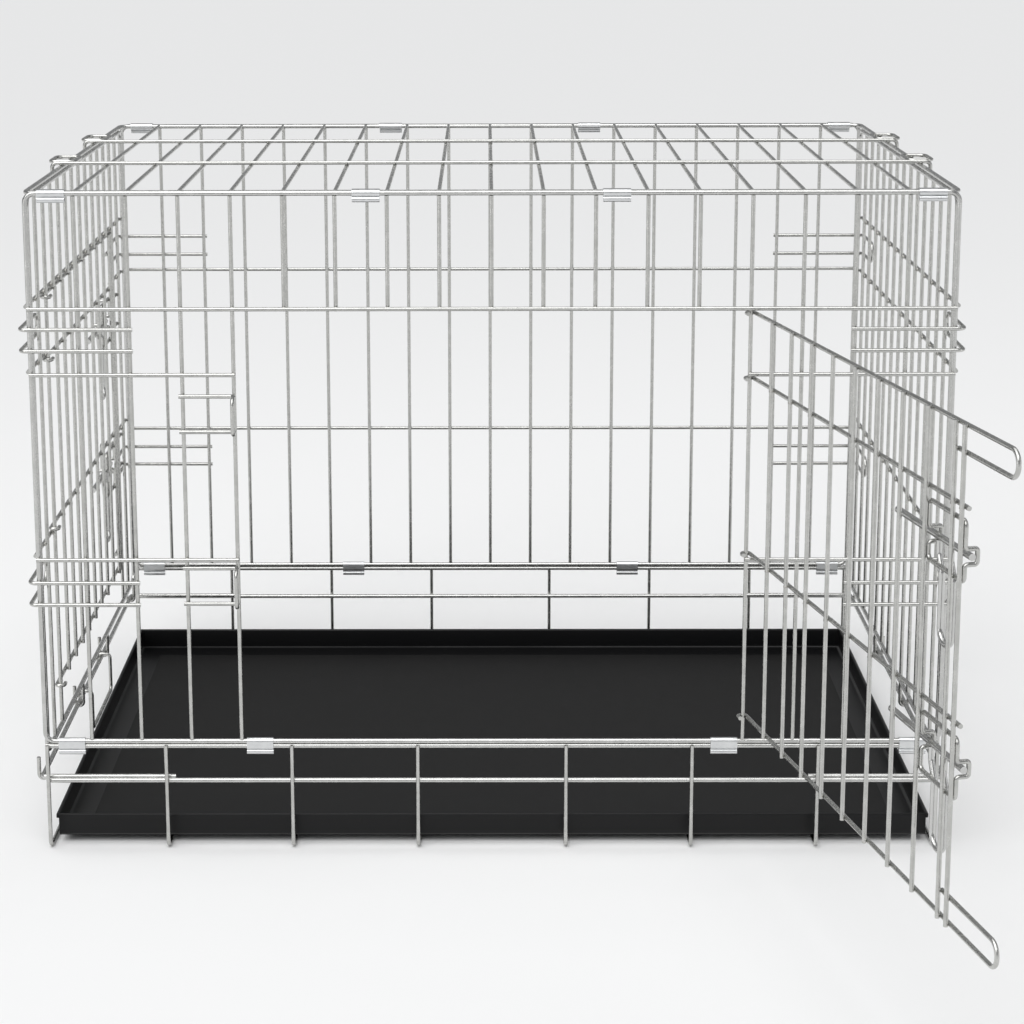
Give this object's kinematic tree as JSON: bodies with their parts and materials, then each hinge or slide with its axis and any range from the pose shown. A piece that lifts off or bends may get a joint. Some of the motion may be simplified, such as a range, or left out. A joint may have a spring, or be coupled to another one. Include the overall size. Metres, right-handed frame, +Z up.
{
  "type": "dog crate",
  "caption": "Folding wire dog crate with a front door and an end door on slide bolts, a pull-out tray under it and wire panels clipped together",
  "frame": {"origin": "middle of the bounding box on the ground, with the front door open as stored", "axes": "+X along the crate's length to the end with no door, +Y from the front to the back, +Z up"},
  "size_m": [0.7932, 1.0144, 0.5695],
  "materials": {
    "back_corner_keepers": "electro-galvanised steel wire, faintly mottled",
    "back_panel_cross_wires": "electro-galvanised steel wire, faintly mottled",
    "back_panel_frame": "electro-galvanised steel wire, faintly mottled",
    "back_panel_uprights": "electro-galvanised steel wire, faintly mottled",
    "base_back_clips": "zinc-plated sheet steel",
    "base_cross_wires": "electro-galvanised steel wire, faintly mottled",
    "base_end_wires": "electro-galvanised steel wire, faintly mottled",
    "base_front_clips": "zinc-plated sheet steel",
    "base_mid_rails": "electro-galvanised steel wire, faintly mottled",
    "base_top_rails": "electro-galvanised steel wire, faintly mottled",
    "front_corner_keepers": "electro-galvanised steel wire, faintly mottled",
    "front_door_bolt_guides": "electro-galvanised steel wire, faintly mottled",
    "front_door_bolt_lower": "bright zinc-plated steel wire, smooth",
    "front_door_bolt_upper": "bright zinc-plated steel wire, smooth",
    "front_door_bottom_wire": "electro-galvanised steel wire, faintly mottled",
    "front_door_cross_wires": "electro-galvanised steel wire, faintly mottled",
    "front_door_handle_lower": "bright zinc-plated steel wire, smooth",
    "front_door_handle_upper": "bright zinc-plated steel wire, smooth",
    "front_door_top_wire": "electro-galvanised steel wire, faintly mottled",
    "front_door_uprights": "electro-galvanised steel wire, faintly mottled",
    "front_latch_keepers": "electro-galvanised steel wire, faintly mottled",
    "front_panel_cross_wires": "electro-galvanised steel wire, faintly mottled",
    "front_panel_frame": "electro-galvanised steel wire, faintly mottled",
    "front_panel_uprights": "electro-galvanised steel wire, faintly mottled",
    "left_end_rail": "electro-galvanised steel wire, faintly mottled",
    "left_hinge_hooks": "electro-galvanised steel wire, faintly mottled",
    "left_latch_keepers": "electro-galvanised steel wire, faintly mottled",
    "left_panel_cross_wires": "electro-galvanised steel wire, faintly mottled",
    "left_panel_frame": "electro-galvanised steel wire, faintly mottled",
    "left_panel_uprights": "electro-galvanised steel wire, faintly mottled",
    "right_end_rail": "electro-galvanised steel wire, faintly mottled",
    "right_hinge_hooks": "electro-galvanised steel wire, faintly mottled",
    "right_panel_cross_wires": "electro-galvanised steel wire, faintly mottled",
    "right_panel_frame": "electro-galvanised steel wire, faintly mottled",
    "right_panel_uprights": "electro-galvanised steel wire, faintly mottled",
    "side_door_bolt_guides": "electro-galvanised steel wire, faintly mottled",
    "side_door_bolt_lower": "bright zinc-plated steel wire, smooth",
    "side_door_bolt_upper": "bright zinc-plated steel wire, smooth",
    "side_door_bottom_wire": "electro-galvanised steel wire, faintly mottled",
    "side_door_cross_wires": "electro-galvanised steel wire, faintly mottled",
    "side_door_handle_lower": "bright zinc-plated steel wire, smooth",
    "side_door_handle_upper": "bright zinc-plated steel wire, smooth",
    "side_door_top_wire": "electro-galvanised steel wire, faintly mottled",
    "side_door_uprights": "electro-galvanised steel wire, faintly mottled",
    "top_back_clips": "zinc-plated sheet steel",
    "top_cross_wires": "electro-galvanised steel wire, faintly mottled",
    "top_finger_loops": "electro-galvanised steel wire, faintly mottled",
    "top_front_clips": "zinc-plated sheet steel",
    "top_long_wires": "electro-galvanised steel wire, faintly mottled",
    "top_panel_frame": "electro-galvanised steel wire, faintly mottled",
    "tray": "satin black baked enamel on sheet steel",
    "tray_stop": "electro-galvanised steel wire, faintly mottled"
  },
  "bodies": {
    "crate_frame": {"back_corner_keepers": "back_corner_keepers", "back_panel_cross_wires": "back_panel_cross_wires", "back_panel_frame": "back_panel_frame", "back_panel_uprights": "back_panel_uprights", "base_back_clips": "base_back_clips", "base_cross_wires": "base_cross_wires", "base_end_wires": "base_end_wires", "base_front_clips": "base_front_clips", "base_mid_rails": "base_mid_rails", "base_top_rails": "base_top_rails", "front_corner_keepers": "front_corner_keepers", "front_latch_keepers": "front_latch_keepers", "front_panel_cross_wires": "front_panel_cross_wires", "front_panel_frame": "front_panel_frame", "front_panel_uprights": "front_panel_uprights", "left_end_rail": "left_end_rail", "right_end_rail": "right_end_rail", "top_back_clips": "top_back_clips", "top_cross_wires": "top_cross_wires", "top_finger_loops": "top_finger_loops", "top_front_clips": "top_front_clips", "top_long_wires": "top_long_wires", "top_panel_frame": "top_panel_frame"},
    "tray": {"tray": "tray"},
    "tray_stop": {"tray_stop": "tray_stop"},
    "left_end": {"left_hinge_hooks": "left_hinge_hooks", "left_latch_keepers": "left_latch_keepers", "left_panel_cross_wires": "left_panel_cross_wires", "left_panel_frame": "left_panel_frame", "left_panel_uprights": "left_panel_uprights"},
    "right_end": {"right_hinge_hooks": "right_hinge_hooks", "right_panel_cross_wires": "right_panel_cross_wires", "right_panel_frame": "right_panel_frame", "right_panel_uprights": "right_panel_uprights"},
    "front_door": {"front_door_uprights": "front_door_uprights", "front_door_cross_wires": "front_door_cross_wires", "front_door_top_wire": "front_door_top_wire", "front_door_bottom_wire": "front_door_bottom_wire", "front_door_bolt_guides": "front_door_bolt_guides"},
    "front_door_bolt_upper": {"front_door_bolt_upper": "front_door_bolt_upper"},
    "front_door_handle_upper": {"front_door_handle_upper": "front_door_handle_upper"},
    "front_door_bolt_lower": {"front_door_bolt_lower": "front_door_bolt_lower"},
    "front_door_handle_lower": {"front_door_handle_lower": "front_door_handle_lower"},
    "side_door": {"side_door_uprights": "side_door_uprights", "side_door_cross_wires": "side_door_cross_wires", "side_door_top_wire": "side_door_top_wire", "side_door_bottom_wire": "side_door_bottom_wire", "side_door_bolt_guides": "side_door_bolt_guides"},
    "side_door_bolt_upper": {"side_door_bolt_upper": "side_door_bolt_upper"},
    "side_door_handle_upper": {"side_door_handle_upper": "side_door_handle_upper"},
    "side_door_bolt_lower": {"side_door_bolt_lower": "side_door_bolt_lower"},
    "side_door_handle_lower": {"side_door_handle_lower": "side_door_handle_lower"}
  },
  "joints": [
    {"name": "left_end_fold", "type": "hinge", "parent": "crate_frame", "child": "left_end", "pos_m": [-0.38142, 0.23762, 0.062], "axis": [0, 1, 0], "range_deg": [0, 82]},
    {"name": "right_end_fold", "type": "hinge", "parent": "crate_frame", "child": "right_end", "pos_m": [0.38728, 0.23762, 0.062], "axis": [0, -1, 0], "range_deg": [0, 90]},
    {"name": "front_door_swing", "type": "hinge", "parent": "crate_frame", "child": "front_door", "pos_m": [0.21543, -0.02688, 0.41], "axis": [0, 0, 1], "range_deg": [-103, 65]},
    {"name": "side_door_swing", "type": "hinge", "parent": "left_end", "child": "side_door", "pos_m": [-0.37756, 0.05612, 0.41], "axis": [0, 0, -1], "range_deg": [-150, 0]},
    {"name": "tray_slide", "type": "slide", "parent": "crate_frame", "child": "tray", "axis": [-1, 0, 0], "range_m": [0, 0.7]},
    {"name": "tray_stop_swing", "type": "hinge", "parent": "crate_frame", "child": "tray_stop", "pos_m": [-0.38142, 0.23762, 0.062], "axis": [0, 1, 0], "range_deg": [0, 110]},
    {"name": "front_door_bolt_upper_slide", "type": "slide", "parent": "front_door", "child": "front_door_bolt_upper", "axis": [0.225, -0.9744, 0], "range_m": [0, 0.02]},
    {"name": "front_door_handle_upper_lift", "type": "hinge", "parent": "front_door_bolt_upper", "child": "front_door_handle_upper", "pos_m": [0.30826, -0.39339, 0.376], "axis": [0.225, -0.9744, 0], "range_deg": [0, 100]},
    {"name": "front_door_bolt_lower_slide", "type": "slide", "parent": "front_door", "child": "front_door_bolt_lower", "axis": [0.225, -0.9744, 0], "range_m": [0, 0.02]},
    {"name": "front_door_handle_lower_lift", "type": "hinge", "parent": "front_door_bolt_lower", "child": "front_door_handle_lower", "pos_m": [0.30826, -0.39339, 0.228], "axis": [0.225, -0.9744, 0], "range_deg": [0, 100]},
    {"name": "side_door_bolt_upper_slide", "type": "slide", "parent": "side_door", "child": "side_door_bolt_upper", "axis": [0, 1, 0], "range_m": [0, 0.02]},
    {"name": "side_door_handle_upper_lift", "type": "hinge", "parent": "side_door_bolt_upper", "child": "side_door_handle_upper", "pos_m": [-0.38556, 0.37862, 0.376], "axis": [0, 1, 0], "range_deg": [0, 100]},
    {"name": "side_door_bolt_lower_slide", "type": "slide", "parent": "side_door", "child": "side_door_bolt_lower", "axis": [0, 1, 0], "range_m": [0, 0.02]},
    {"name": "side_door_handle_lower_lift", "type": "hinge", "parent": "side_door_bolt_lower", "child": "side_door_handle_lower", "pos_m": [-0.38556, 0.37862, 0.228], "axis": [0, 1, 0], "range_deg": [0, 100]}
  ]
}
